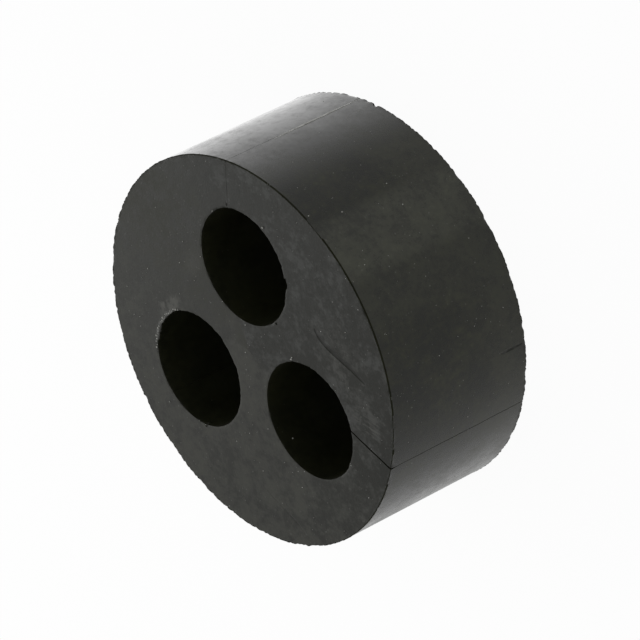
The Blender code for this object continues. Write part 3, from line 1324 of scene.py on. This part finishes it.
def floor_material():
    """Matt white that is partly white by itself to the camera and to reflections."""
    material = bpy.data.materials.new("white_floor")
    material.use_nodes = True
    group = material.node_tree
    group.nodes.clear()
    tree = Tree(group)
    x, y, _ = tree.split(tree.field("ShaderNodeTexCoord", output="Object"))
    from_axis = (x * x + y * y).math("SQRT") / MM
    beside = tree.ramp(from_axis, GLOW_START, GLOW_FULL)
    path = tree.add("ShaderNodeLightPath")
    seen = [Field(tree, path.outputs[f"Is {ray} Ray"]) for ray in ("Camera", "Glossy", "Transmission")]
    seen = seen[0].math("MAXIMUM", seen[1]).math("MAXIMUM", seen[2])
    matt = tree.add("ShaderNodeBsdfDiffuse", {"Color": FLOOR_WHITE})
    glow = tree.add("ShaderNodeEmission", {"Color": WHITE, "Strength": 1.0})
    mix = tree.add("ShaderNodeMixShader", {0: seen * beside * FLOOR_GLOW})
    group.links.new(matt.outputs[0], mix.inputs[1])
    group.links.new(glow.outputs[0], mix.inputs[2])
    end = tree.add("ShaderNodeOutputMaterial")
    group.links.new(mix.outputs[0], end.inputs["Surface"])
    return material


floor = make_floor()
floor.data.materials.append(floor_material())
print("floor", round(floor.dimensions.x, 2), "m wide")

# %% The sky and the lamp
SKY_STRENGTH = 0.66
LAMP_POWER = 0.040
LAMP_SIZE = 0.06
LAMP_DISTANCE = 0.139
LAMP_TURN = 193.6
LAMP_RISE = 31.0


def white_sky():
    """The same white from every side."""
    world = bpy.data.worlds.new("white_sky")
    world.use_nodes = True
    background = world.node_tree.nodes["Background"]
    background.inputs["Color"].default_value = WHITE
    background.inputs["Strength"].default_value = SKY_STRENGTH
    bpy.context.scene.world = world


def soft_lamp():
    """A square soft lamp beside the insert, aimed at the middle of its back face."""
    data = bpy.data.lights.new("soft_lamp", "AREA")
    data.shape = "SQUARE"
    data.size = LAMP_SIZE
    data.energy = LAMP_POWER
    lamp = bpy.data.objects.new("soft_lamp", data)
    bpy.context.scene.collection.objects.link(lamp)
    level = LAMP_DISTANCE * cos(radians(LAMP_RISE))
    lamp.location = on_circle(level, LAMP_TURN, LAMP_DISTANCE * sin(radians(LAMP_RISE)))
    lamp.rotation_euler = lamp.location.to_track_quat("Z", "Y").to_euler()


white_sky()
soft_lamp()
print("sky strength", SKY_STRENGTH, "and lamp power", LAMP_POWER)

# %% [markdown]
# ## The camera
#
# In the photograph the insert stands on its rim, and it is seen by a long lens, a little from above
# the axis. The model lies on its back face, as its frame says, so the camera goes round it instead
# and is rolled on to its side. Seven numbers give its place: two angles, a roll, a distance and a
# point to aim at. They were found by fitting the rims and the bores as circles seen in perspective.

# %% Camera from the photograph's view
CAMERA_TURN = 34.883
CAMERA_RISE = 34.539
CAMERA_ROLL = 116.221
CAMERA_DISTANCE = 0.35806
CAMERA_AIM = Vector((0.000168, -0.000073, 0.005561))
CAMERA_LENS = 315.89


def make_camera():
    """A long lens aimed at the middle of the insert and rolled about its own axis."""
    data = bpy.data.cameras.new("camera")
    data.sensor_width = 36.0
    data.lens = CAMERA_LENS
    data.clip_start = 0.01
    camera = bpy.data.objects.new("camera", data)
    bpy.context.scene.collection.objects.link(camera)
    turn, rise, roll = radians(CAMERA_TURN), radians(CAMERA_RISE), radians(CAMERA_ROLL)
    back = Vector((cos(rise) * cos(turn), cos(rise) * sin(turn), sin(rise)))
    upright = (Vector((0.0, 0.0, 1.0)) - back * back.z).normalized()
    level = upright.cross(back)
    up = upright * cos(roll) + level * sin(roll)
    right = level * cos(roll) - upright * sin(roll)
    axes = Matrix((right, up, back)).transposed().to_4x4()
    camera.matrix_world = Matrix.Translation(CAMERA_AIM + back * CAMERA_DISTANCE) @ axes
    bpy.context.scene.camera = camera
    return camera


camera = make_camera()
print("camera in mm:", [round(value / MM, 1) for value in camera.location])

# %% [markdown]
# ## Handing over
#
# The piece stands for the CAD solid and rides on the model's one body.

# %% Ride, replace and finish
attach(insert, "root")
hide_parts("sealing_insert")

bpy.context.scene.view_settings.view_transform = "Standard"
